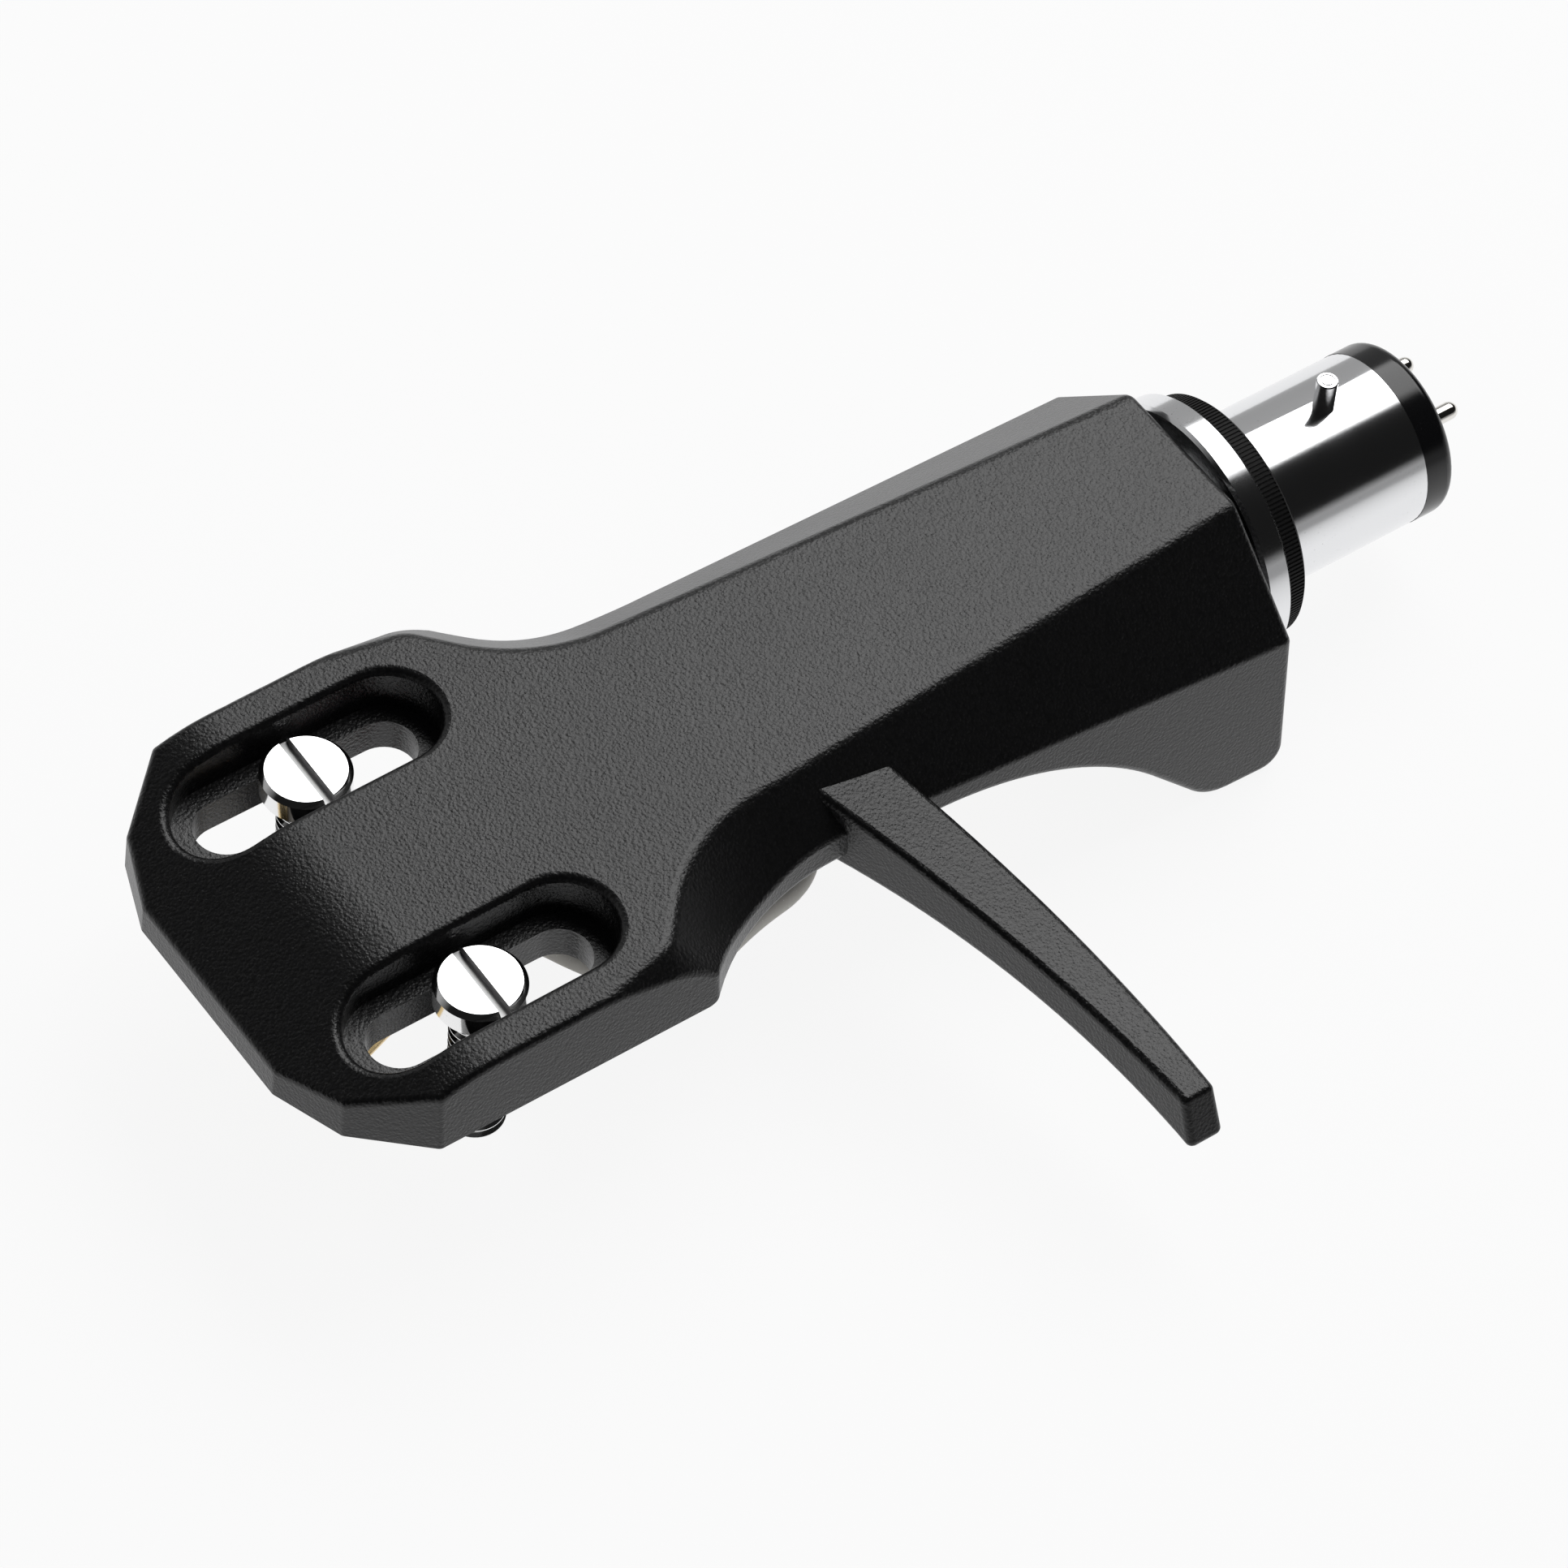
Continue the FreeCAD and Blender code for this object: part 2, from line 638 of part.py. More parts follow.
def slotted_screw(name, side):
    """Cheese-head screw standing on the ledge of one slot."""
    x, y = "- nose_reach + slot_back", f"{side} * slot_pitch / 2"
    seat = "head_bottom + ledge_thick"
    body = fuse(
        f"{name}_body",
        upright("Part::Cylinder", f"{name}_shank", x, y, seat + " - screw_length + 0.4 * screw_radius",
                Radius="screw_radius", Height="screw_length - 0.4 * screw_radius"),
        upright("Part::Cone", f"{name}_tip", x, y, seat + " - screw_length",
                Radius1="0.6 * screw_radius", Radius2="screw_radius", Height="0.4 * screw_radius"),
        upright("Part::Cylinder", f"{name}_head", x, y, seat,
                Radius="screw_head_radius", Height="screw_head_height - screw_bevel"),
        upright("Part::Cone", f"{name}_bevel", x, y, seat + " + screw_head_height - screw_bevel",
                Radius1="screw_head_radius", Radius2="screw_head_radius - screw_bevel",
                Height="screw_bevel"),
    )
    drive = DOC.addObject("Part::Box", f"{name}_drive")
    bind(drive, Length="2 * screw_head_radius", Width="screw_slot_width", Height="screw_head_height")
    turn = math.radians(size("screw_slot_angle"))
    along, across = size("screw_head_radius"), size("screw_slot_width") / 2
    drive.Placement = FreeCAD.Placement(
        Vector(-size("slot_reach") - along * math.cos(turn) + across * math.sin(turn),
               side * size("slot_pitch") / 2 - along * math.sin(turn) - across * math.cos(turn),
               ledge_height() + size("screw_head_height") - size("screw_slot_depth")),
        FreeCAD.Rotation(Vector(0, 0, 1), size("screw_slot_angle")))
    return cut(name, body, drive)


near_screw = slotted_screw("mounting_screw_near", -1)
far_screw = slotted_screw("mounting_screw_far", 1)

grub = upright("Part::Cylinder", "grub_body", "- grub_reach", "0", "- socket_radius - grub_proud",
               Radius="grub_radius", Height="socket_radius + grub_proud - tube_radius")
grub_drive = DOC.addObject("Part::Box", "grub_drive")
bind(grub_drive, Length="2 * grub_radius", Width="screw_slot_width", Height="screw_slot_depth",
     Placement_at_x="- grub_reach - grub_radius", Placement_at_y="- 0.5 * screw_slot_width",
     Placement_at_z="- socket_radius - grub_proud")
tube_screw = cut("tube_set_screw", grub, grub_drive)

# Leads: each runs from the clip on its contact post to the clip for the cartridge.
# The way points are the corners of the route, rounded as large as the runs allow.

LEAD_START = -size("tube_inside") - size("contact_post") - 1.2
LEAD_ROUTES = {
    "white": [(-2.9, 0.0, 0.0), (-5.2, -1.6, -1.1), (-6.9, -5.1, -1.4), (-11.0, -5.8, -1.1),
              (-13.5, -5.6, -4.0), (-15.4, -2.3, -4.9), (-18.2, 0.0, -2.5), (-21.5, -0.2, -1.3),
              (-24.4, -1.2, -1.3)],
    "blue": [(-3.2, 0.0, 0.0), (-5.9, -1.6, -1.9), (-8.5, -2.7, -2.5), (-11.6, -1.5, -2.8),
             (-13.5, 2.2, -3.1), (-15.4, 3.9, -1.0), (-17.7, 2.9, 1.4), (-21.2, 0.6, 2.0),
             (-24.7, 1.2, 1.9)],
    "red": [(-3.2, 0.0, 0.0), (-6.1, 2.2, -1.8), (-8.3, 5.5, -3.8), (-11.3, 5.8, -5.4),
            (-14.5, 4.6, -5.3), (-15.9, 1.9, -3.8), (-18.8, 0.8, -2.8), (-21.6, 1.0, -1.0),
            (-24.4, 2.4, -1.0)],
    "green": [(-3.4, 0.0, 0.0), (-6.6, 0.4, -1.1), (-8.9, 3.6, -2.3), (-12.0, 4.4, -2.7),
              (-14.9, 3.1, -2.7), (-16.7, 0.0, -3.0), (-18.8, -1.7, -0.6), (-21.6, -0.5, 1.9),
              (-24.8, 0.1, 1.9)],
}


def lead_points(name):
    """Corners of one lead's route, from its contact post."""
    side, level = CHANNELS[name]
    half = size("contact_pitch") / 2
    start = Vector(LEAD_START, side * half, level * half)
    return [start] + [start + Vector(*step) for step in LEAD_ROUTES[name]]


def rounded_path(points):
    """Straight runs joined by tangent arcs, and the arcs' radii."""
    edges, radii, last = [], [], points[0]
    for before, corner, after in zip(points, points[1:], points[2:]):
        back, ahead = before - corner, after - corner
        short = min(back.Length, ahead.Length)
        half_turn = (math.pi - back.getAngle(ahead)) / 2
        tangent = 0.45 * short
        radii.append(tangent / math.tan(half_turn))
        back.normalize()
        ahead.normalize()
        start, end = corner + back * tangent, corner + ahead * tangent
        bisector = (back + ahead).normalize()
        centre = corner + bisector * (tangent / math.sin(half_turn))
        middle = centre - bisector * radii[-1]
        edges += [Part.LineSegment(last, start).toShape(), Part.Arc(start, middle, end).toShape()]
        last = end
    edges.append(Part.LineSegment(last, points[-1]).toShape())
    return Part.Wire(edges), radii


def lead(name):
    """Insulated wire along its route."""
    points = lead_points(name)
    path, radii = rounded_path(points)
    along = points[1] - points[0]
    ring = Part.Wire(Part.Circle(points[0], along, size("lead_radius")).toShape())
    shape = path.makePipeShell([ring], True, False)
    print(name, "length", round(path.Length, 2), "radii", [round(r, 2) for r in radii],
          "volume share", round(shape.Volume / (math.pi * size("lead_radius") ** 2 * path.Length), 4))
    return shape


def clip(open_end, closed_end, bore, depth):
    """Sprung sleeve of a lead, open at one end and split along its length."""
    axis = (closed_end - open_end).normalize()
    length = (closed_end - open_end).Length
    sleeve = Part.makeCylinder(size("clip_radius"), length, open_end, axis)
    sleeve = sleeve.cut(Part.makeCylinder(bore, depth, open_end, axis))
    gap = Part.makeBox(2 * size("clip_radius"), 0.4 * bore, depth, Vector(0, -0.2 * bore, 0))
    gap.Placement = FreeCAD.Placement(open_end, FreeCAD.Rotation(Vector(0, 0, 1), axis))
    return sleeve.cut(gap)


for name, (side, level) in CHANNELS.items():
    points = lead_points(name)
    solid(f"lead_{name}", lead(name))
    half = size("contact_pitch") / 2
    first = (points[1] - points[0]).normalize()
    rear_clip = clip(Vector(LEAD_START + size("clip_length"), side * half, level * half), points[0],
                     size("contact_radius"), size("clip_length") - 1.2)
    solid(f"plug_clip_{name}", rear_clip)
    last = (points[-1] - points[-2]).normalize()
    solid(f"cartridge_clip_{name}",
          clip(points[-1] + last * size("clip_length"), points[-1],
               size("clip_bore"), size("clip_bore_depth")))

DOC.recompute()

NODES = (["shell", "plug_tube", "locating_pin", "rubber_washer", "contact_insulator",
          "mounting_screw_near", "mounting_screw_far", "tube_set_screw"]
         + [f"contact_pin_{name}" for name in CHANNELS]
         + [f"lead_{name}" for name in CHANNELS]
         + [f"plug_clip_{name}" for name in CHANNELS]
         + [f"cartridge_clip_{name}" for name in CHANNELS])

for obj in DOC.Objects:
    if "Invalid" in obj.State or "Error" in obj.State:
        raise RuntimeError(f"{obj.Name} failed: {obj.State}")
for name in NODES:
    shape = DOC.getObject(name).Shape
    if shape.isNull() or not shape.isValid() or len(shape.Solids) != 1:
        raise RuntimeError(f"{name} is not one valid solid")

os.makedirs("parts", exist_ok=True)
for name in NODES:
    obj = DOC.getObject(name)
    obj.Label = name
    obj.Shape.exportStep(f"parts/{name}.step")
    print(name, round(obj.Shape.Volume, 3))
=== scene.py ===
"""Turntable headshell in a plain studio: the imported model, its finishes and its fine pieces."""
from __future__ import annotations

import json
import logging
import math
from dataclasses import dataclass
from enum import Enum
from typing import Callable, Iterable, Sequence

import bmesh
import bpy
from mathutils import Matrix, Vector

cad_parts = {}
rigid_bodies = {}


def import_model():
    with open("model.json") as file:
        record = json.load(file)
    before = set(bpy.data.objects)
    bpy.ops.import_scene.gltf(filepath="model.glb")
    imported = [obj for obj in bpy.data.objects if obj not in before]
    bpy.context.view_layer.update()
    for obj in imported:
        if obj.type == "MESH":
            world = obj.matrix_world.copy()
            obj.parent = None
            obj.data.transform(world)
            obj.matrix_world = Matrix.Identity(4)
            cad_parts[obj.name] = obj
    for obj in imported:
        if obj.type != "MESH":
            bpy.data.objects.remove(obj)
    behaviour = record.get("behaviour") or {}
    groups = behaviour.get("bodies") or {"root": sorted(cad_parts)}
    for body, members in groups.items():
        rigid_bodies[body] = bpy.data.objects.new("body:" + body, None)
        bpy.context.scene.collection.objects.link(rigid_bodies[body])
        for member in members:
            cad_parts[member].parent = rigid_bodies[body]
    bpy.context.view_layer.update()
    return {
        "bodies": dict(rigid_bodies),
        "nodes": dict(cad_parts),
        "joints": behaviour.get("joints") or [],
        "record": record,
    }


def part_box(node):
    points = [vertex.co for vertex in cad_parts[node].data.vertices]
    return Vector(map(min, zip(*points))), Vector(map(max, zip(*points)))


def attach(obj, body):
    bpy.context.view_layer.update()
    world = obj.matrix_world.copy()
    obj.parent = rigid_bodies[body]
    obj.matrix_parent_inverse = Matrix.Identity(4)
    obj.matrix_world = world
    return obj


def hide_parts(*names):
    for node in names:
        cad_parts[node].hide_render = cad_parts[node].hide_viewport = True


LOG = logging.getLogger("headshell")
MM = 0.001
BODY = "root"
DOUBLES = 1e-6
UP = Vector((0, 0, 1))
ALONG = Vector((1, 0, 0))
Colour = tuple[float, float, float]


class Channel(Enum):
    """The four signal leads, by the colour of their insulation."""

    WHITE = "white"
    BLUE = "blue"
    RED = "red"
    GREEN = "green"


class Pick(Enum):
    """What is selected in edit mode, by Blender's name for it."""

    FACES = "FACE"
    POINTS = "VERT"


# Working in meshes


def deselect() -> None:
    """Clear the selection, so that an operator acts on one piece only."""
    bpy.ops.object.select_all(action="DESELECT")


def activate(piece: bpy.types.Object) -> bpy.types.Object:
    """Select one object and make it active.

    Args:
        piece: The object to work on.

    Returns:
        The same object.
    """
    deselect()
    piece.select_set(True)
    bpy.context.view_layer.objects.active = piece
    return piece


def settle(piece: bpy.types.Object, name: str) -> bpy.types.Object:
    """Name a finished piece and move its place from the object into its mesh.

    Args:
        piece: The finished object.
        name: The name it gets.

    Returns:
        The same object, at the origin.
    """
    activate(piece)
    piece.name = name
    bpy.ops.object.transform_apply(location=True, rotation=True, scale=True)
    return piece


def apply_modifiers(piece: bpy.types.Object) -> None:
    """Apply every modifier of a piece, first to last.

    Args:
        piece: The object that carries them.
    """
    activate(piece)
    for modifier in list(piece.modifiers):
        bpy.ops.object.modifier_apply(modifier=modifier.name)


def shade(piece: bpy.types.Object, angle: float = 30.0) -> None:
    """Shade a piece smooth apart from its sharp edges.

    Args:
        piece: The object to shade.
        angle: Edges that turn by more than this many degrees stay sharp.
    """
    activate(piece)
    bpy.ops.object.shade_smooth_by_angle(angle=math.radians(angle))


def pick(piece: bpy.types.Object, kind: Pick,
         wanted: Callable[[bmesh.types.BMFace | bmesh.types.BMVert], bool]) -> None:
    """Select faces or points by their place; the piece is in edit mode.

    Args:
        piece: The object in edit mode.
        kind: Faces or points.
        wanted: Says whether one is selected.
    """
    mesh = bmesh.from_edit_mesh(piece.data)
    bpy.ops.mesh.select_all(action="DESELECT")
    bpy.ops.mesh.select_mode(type=kind.value)
    for part in mesh.faces if kind is Pick.FACES else mesh.verts:
        part.select_set(wanted(part))
    mesh.select_flush_mode()
    bmesh.update_edit_mesh(piece.data)


def close_shape() -> None:
    """Merge doubles and turn every face outwards, in edit mode."""
    bpy.ops.mesh.select_all(action="SELECT")
    bpy.ops.mesh.remove_doubles(threshold=DOUBLES)
    bpy.ops.mesh.normals_make_consistent(inside=False)


def turned(name: str, profile: Sequence[tuple[float, float]], steps: int,
           start: Vector, axis: Vector) -> bpy.types.Object:
    """Turn a piece as on a lathe: a disc or ring is extruded along a profile.

    Args:
        name: Name of the new piece.
        profile: Half section as (radius, height) in millimetres, from height 0. Where it ends
            in its first point, the piece is a ring, and otherwise a solid with flat ends.
        steps: Steps in one turn.
        start: Foot of the axis in metres.
        axis: Direction of the axis.

    Returns:
        The new piece, with its place still on the object.
    """
    ring = profile[0] == profile[-1]
    radius, height = profile[0]
    deselect()
    bpy.ops.mesh.primitive_circle_add(vertices=steps, radius=radius * MM,
                                      fill_type="NOTHING" if ring else "NGON")
    piece = bpy.context.object
    piece.name = name
    bpy.ops.object.mode_set(mode="EDIT")
    bpy.ops.mesh.select_mode(type="VERT")
    bpy.ops.mesh.select_all(action="SELECT")
    for wider, higher in profile[1:]:
        bpy.ops.mesh.extrude_region_move(
            TRANSFORM_OT_translate={"value": (0, 0, (higher - height) * MM)})
        bpy.ops.transform.resize(value=(wider / radius, wider / radius, 1),
                                 center_override=(0, 0, higher * MM))
        radius, height = wider, higher
    close_shape()
    bpy.ops.object.mode_set(mode="OBJECT")
    piece.rotation_mode = "QUATERNION"
    piece.rotation_quaternion = UP.rotation_difference(axis)
    piece.location = start
    return piece


# Working in materials


class Graph:
    """A material's node tree, with short calls to add nodes and join them."""

    def __init__(self, tree: bpy.types.NodeTree) -> None:
        """Work on a tree.

        Args:
            tree: The node tree to fill.
        """
        self.tree = tree

    def add(self, kind: str, **inputs: object) -> bpy.types.Node:
        """Add a node and set its inputs.

        Args:
            kind: Type of the node.
            **inputs: Values or output sockets by input name, spaces as underscores.

        Returns:
            The new node.
        """
        node = self.tree.nodes.new(kind)
        for name, value in inputs.items():
            self.put(node, name.replace("_", " "), value)
        return node

    def put(self, node: bpy.types.Node, name: str | int, value: object) -> None:
        """Set one input of a node, or join it to an output.

        Args:
            node: The node.
            name: Name or index of the input.
            value: A plain value or an output socket.
        """
        if isinstance(value, bpy.types.NodeSocket):
            self.tree.links.new(value, node.inputs[name])
        elif value is not None:
            node.inputs[name].default_value = value

    def math(self, operation: str, first: object, second: object = None) -> bpy.types.NodeSocket:
        """Add a Math node.

        Args:
            operation: The node's operation.
            first: Value or socket of the first input.
            second: Value or socket of the second input.

        Returns:
            The result's socket.
        """
        node = self.tree.nodes.new("ShaderNodeMath")
        node.operation = operation
        self.put(node, 0, first)
        self.put(node, 1, second)
        return node.outputs[0]

    def mix(self, factor: object, first: object, second: object) -> bpy.types.NodeSocket:
        """Mix two colours.

        Args:
            factor: Share of the second colour.
            first: First colour or socket.
            second: Second colour or socket.

        Returns:
            The mixed colour's socket.
        """
        node = self.tree.nodes.new("ShaderNodeMix")
        node.data_type = "RGBA"
        self.put(node, 0, factor)
        self.put(node, 6, first)
        self.put(node, 7, second)
        return node.outputs[2]


def new_group(name: str, inputs: dict[str, float | None], outputs: Iterable[str]) -> tuple[
        bpy.types.NodeTree, bpy.types.Node, bpy.types.Node]:
    """Start a shader node group with named inputs and outputs.

    Args:
        name: Name of the group.
        inputs: Default of each input; None makes it a vector.
        outputs: Names of the value outputs.

    Returns:
        The tree, its input node and its output node.
    """
    tree = bpy.data.node_groups.new(name, "ShaderNodeTree")
    for label, default in inputs.items():
        kind = "NodeSocketVector" if default is None else "NodeSocketFloat"
        socket = tree.interface.new_socket(label, in_out="INPUT", socket_type=kind)
        if default is not None:
            socket.default_value = default
    for label in outputs:
        tree.interface.new_socket(label, in_out="OUTPUT", socket_type="NodeSocketFloat")
    return tree, tree.nodes.new("NodeGroupInput"), tree.nodes.new("NodeGroupOutput")


class Effects:
    """Shader node groups that several finishes share, each built once."""

    def __init__(self) -> None:
        """Build the groups."""
        self.grain = self.build_grain()
        self.patina = self.build_patina()

    @staticmethod
    def build_grain() -> bpy.types.NodeTree:
        """Pebbled skin of paint or moulded plastic.

        Returns:
            The group, which puts out a height and a mask of the hollows.
        """
        tree, into, out = new_group(
            "pebble_grain", {"Vector": None, "Cell Size": 0.00018, "Softness": 0.6},
            ("Height", "Hollows"))
        graph = Graph(tree)
        scale = graph.math("DIVIDE", 1.0, into.outputs["Cell Size"])
        warp = graph.add("ShaderNodeTexNoise", Vector=into.outputs["Vector"], Scale=scale,
                         Detail=2.0, Roughness=0.5)
        shift = graph.add("ShaderNodeVectorMath", Vector=warp.outputs["Color"])
        shift.operation = "SCALE"
        shift.inputs["Scale"].default_value = 0.00011
        moved = graph.tree.nodes.new("ShaderNodeVectorMath")
        moved.operation = "ADD"
        graph.put(moved, 0, into.outputs["Vector"])
        graph.put(moved, 1, shift.outputs[0])
        cells = graph.add("ShaderNodeTexVoronoi")
        cells.feature = "SMOOTH_F1"
        graph.put(cells, "Vector", moved.outputs[0])
        graph.put(cells, "Scale", scale)
        graph.put(cells, "Smoothness", into.outputs["Softness"])
        fine = graph.add("ShaderNodeTexNoise", Vector=into.outputs["Vector"],
                         Scale=graph.math("MULTIPLY", scale, 2.3), Detail=3.0)
        height = graph.math("SUBTRACT", graph.math("MULTIPLY", fine.outputs[0], 0.5),
                            cells.outputs["Distance"])
        hollows = graph.add("ShaderNodeMapRange", Value=cells.outputs["Distance"])
        hollows.inputs["From Min"].default_value = 0.35
        hollows.inputs["From Max"].default_value = 0.75
        graph.put(out, "Height", height)
        graph.put(out, "Hollows", hollows.outputs[0])
        return tree

    @staticmethod
    def build_patina() -> bpy.types.NodeTree:
        """Slow change of gloss over a handled surface, with fine specks.

        Returns:
            The group, which puts out a roughness and a mask of the specks.
        """
        tree, into, out = new_group(
            "patina", {"Vector": None, "Roughness": 0.3, "Spread": 0.05, "Patch Size": 0.004},
            ("Roughness", "Specks"))
        graph = Graph(tree)
        scale = graph.math("DIVIDE", 1.0, into.outputs["Patch Size"])
        cloud = graph.add("ShaderNodeTexNoise", Vector=into.outputs["Vector"], Scale=scale,
                          Detail=4.0, Roughness=0.6)
        swing = graph.math("MULTIPLY", graph.math("SUBTRACT", cloud.outputs[0], 0.5),
                           into.outputs["Spread"])
        graph.put(out, "Roughness", graph.math("ADD", into.outputs["Roughness"],
                                               graph.math("MULTIPLY", swing, 2.0)))
        dots = graph.add("ShaderNodeTexNoise", Vector=into.outputs["Vector"],
                         Scale=graph.math("MULTIPLY", scale, 30.0), Detail=1.0)
        specks = graph.add("ShaderNodeMapRange", Value=dots.outputs[0])
        specks.inputs["From Min"].default_value = 0.72
        specks.inputs["From Max"].default_value = 0.78
        graph.put(out, "Specks", specks.outputs[0])
        return tree


@dataclass(frozen=True)
class Finish:
    """A surface finish that its class makes into one material."""

    name: str

    def make(self, effects: Effects) -> bpy.types.Material:
        """Make the material.

        Args:
            effects: The shared node groups.

        Returns:
            The new material.
        """
        material = bpy.data.materials.new(self.name)
        material.use_nodes = True
        graph = Graph(material.node_tree)
        shader = material.node_tree.nodes["Principled BSDF"]
        place = graph.add("ShaderNodeTexCoord").outputs["Object"]
        self.dress(graph, shader, place, effects)
        return material

    def dress(self, graph: Graph, shader: bpy.types.Node, place: bpy.types.NodeSocket,
              effects: Effects) -> None:
        """Set the shader up; each finish has its own.

        Args:
            graph: The material's graph.
            shader: Its Principled BSDF.
            place: Object coordinates.
            effects: The shared node groups.
        """
        raise NotImplementedError

    @staticmethod
    def effect(graph: Graph, tree: bpy.types.NodeTree, **inputs: object) -> bpy.types.Node:
        """Place a shared group in the material.

        Args:
            graph: The material's graph.
            tree: The group.
            **inputs: Values or sockets by input name, spaces as underscores.

        Returns:
            The group node.
        """
        node = graph.tree.nodes.new("ShaderNodeGroup")
        node.node_tree = tree
        for name, value in inputs.items():
            graph.put(node, name.replace("_", " "), value)
        return node

    @staticmethod
    def bump(graph: Graph, shader: bpy.types.Node, height: bpy.types.NodeSocket,
             depth_mm: float) -> None:
        """Feed a height into the shader's normal.

        Args:
            graph: The material's graph.
            shader: Its Principled BSDF.
            height: The height, about 0 to 1.
            depth_mm: Depth of the relief in millimetres.
        """
        node = graph.add("ShaderNodeBump", Height=height, Strength=1.0, Distance=depth_mm * MM)
        graph.put(shader, "Normal", node.outputs[0])


@dataclass(frozen=True)
class GrainedPaint(Finish):
    """Fine-grained satin paint on a casting."""

    colour: Colour = (0.004, 0.004, 0.0042)
    painted_lit_tops: Colour = (0.006, 0.006, 0.0063)
    roughness: float = 0.31
    cell_mm: float = 0.135
    depth_mm: float = 0.02

    def dress(self, graph: Graph, shader: bpy.types.Node, place: bpy.types.NodeSocket,
              effects: Effects) -> None:
        """Pebbles, with painted shade: the hollows darker and the tops a little lighter."""
        grain = self.effect(graph, effects.grain, Vector=place, Cell_Size=self.cell_mm * MM,
                            Softness=0.75)
        gloss = self.effect(graph, effects.patina, Vector=place, Roughness=self.roughness,
                            Spread=0.03, Patch_Size=0.006)
        # painted shade: the pebble hollows get the darker colour and their tops the lighter one
        colour = graph.mix(grain.outputs["Hollows"], (*self.painted_lit_tops, 1), (*self.colour, 1))
        graph.put(shader, "Base Color", colour)
        graph.put(shader, "Roughness", gloss.outputs["Roughness"])
        self.bump(graph, shader, grain.outputs["Height"], self.depth_mm)


@dataclass(frozen=True)
class Plating(Finish):
    """Bright plating over metal, with faint polishing lines and specks."""

    colour: Colour = (0.82, 0.825, 0.835)
    dull: Colour = (0.55, 0.55, 0.56)
    roughness: float = 0.13
    spread: float = 0.03
    depth_mm: float = 0.001
    ripple_per_m: float = 2500.0

    def dress(self, graph: Graph, shader: bpy.types.Node, place: bpy.types.NodeSocket,
              effects: Effects) -> None:
        """Mirror metal whose gloss changes slowly over the surface."""
        gloss = self.effect(graph, effects.patina, Vector=place, Roughness=self.roughness,
                            Spread=self.spread, Patch_Size=0.0025)
        colour = graph.mix(gloss.outputs["Specks"], (*self.colour, 1), (*self.dull, 1))
        graph.put(shader, "Base Color", colour)
        graph.put(shader, "Metallic", 1.0)
        graph.put(shader, "Roughness", gloss.outputs["Roughness"])
        ripple = graph.add("ShaderNodeTexNoise", Vector=place, Scale=self.ripple_per_m,
                           Detail=3.0)
        self.bump(graph, shader, ripple.outputs[0], self.depth_mm)


@dataclass(frozen=True)
class Rubber(Finish):
    """Matt black rubber with dust in its pores."""

    colour: Colour = (0.006, 0.006, 0.006)
    dust: Colour = (0.03, 0.029, 0.027)
    roughness: float = 0.62
    cell_mm: float = 0.12
    depth_mm: float = 0.008

    def dress(self, graph: Graph, shader: bpy.types.Node, place: bpy.types.NodeSocket,
              effects: Effects) -> None:
        """Dull, finely pored and a little dusty."""
        grain = self.effect(graph, effects.grain, Vector=place, Cell_Size=self.cell_mm * MM,
                            Softness=0.5)
        gloss = self.effect(graph, effects.patina, Vector=place, Roughness=self.roughness,
                           Spread=0.06, Patch_Size=0.002)
        colour = graph.mix(gloss.outputs["Specks"], (*self.colour, 1), (*self.dust, 1))
        graph.put(shader, "Base Color", colour)
        graph.put(shader, "Roughness", gloss.outputs["Roughness"])
        graph.put(shader, "Specular IOR Level", 0.25)
        self.bump(graph, shader, grain.outputs["Height"], self.depth_mm)


@dataclass(frozen=True)
class Moulding(Finish):
    """Satin moulded plastic."""

    colour: Colour = (0.012, 0.012, 0.013)
    roughness: float = 0.3
    depth_mm: float = 0.002
    peel_per_m: float = 3500.0

    def dress(self, graph: Graph, shader: bpy.types.Node, place: bpy.types.NodeSocket,
              effects: Effects) -> None:
        """Smooth plastic with a slight orange peel."""
        gloss = self.effect(graph, effects.patina, Vector=place, Roughness=self.roughness,
                            Spread=0.04, Patch_Size=0.003)
        lighter = tuple(min(1.0, c * 1.5 + 0.01) for c in self.colour)
        colour = graph.mix(gloss.outputs["Specks"], (*self.colour, 1), (*lighter, 1))
        graph.put(shader, "Base Color", colour)
        graph.put(shader, "Roughness", gloss.outputs["Roughness"])
        peel = graph.add("ShaderNodeTexNoise", Vector=place, Scale=self.peel_per_m,
                         Detail=2.0)
        self.bump(graph, shader, peel.outputs[0], self.depth_mm)


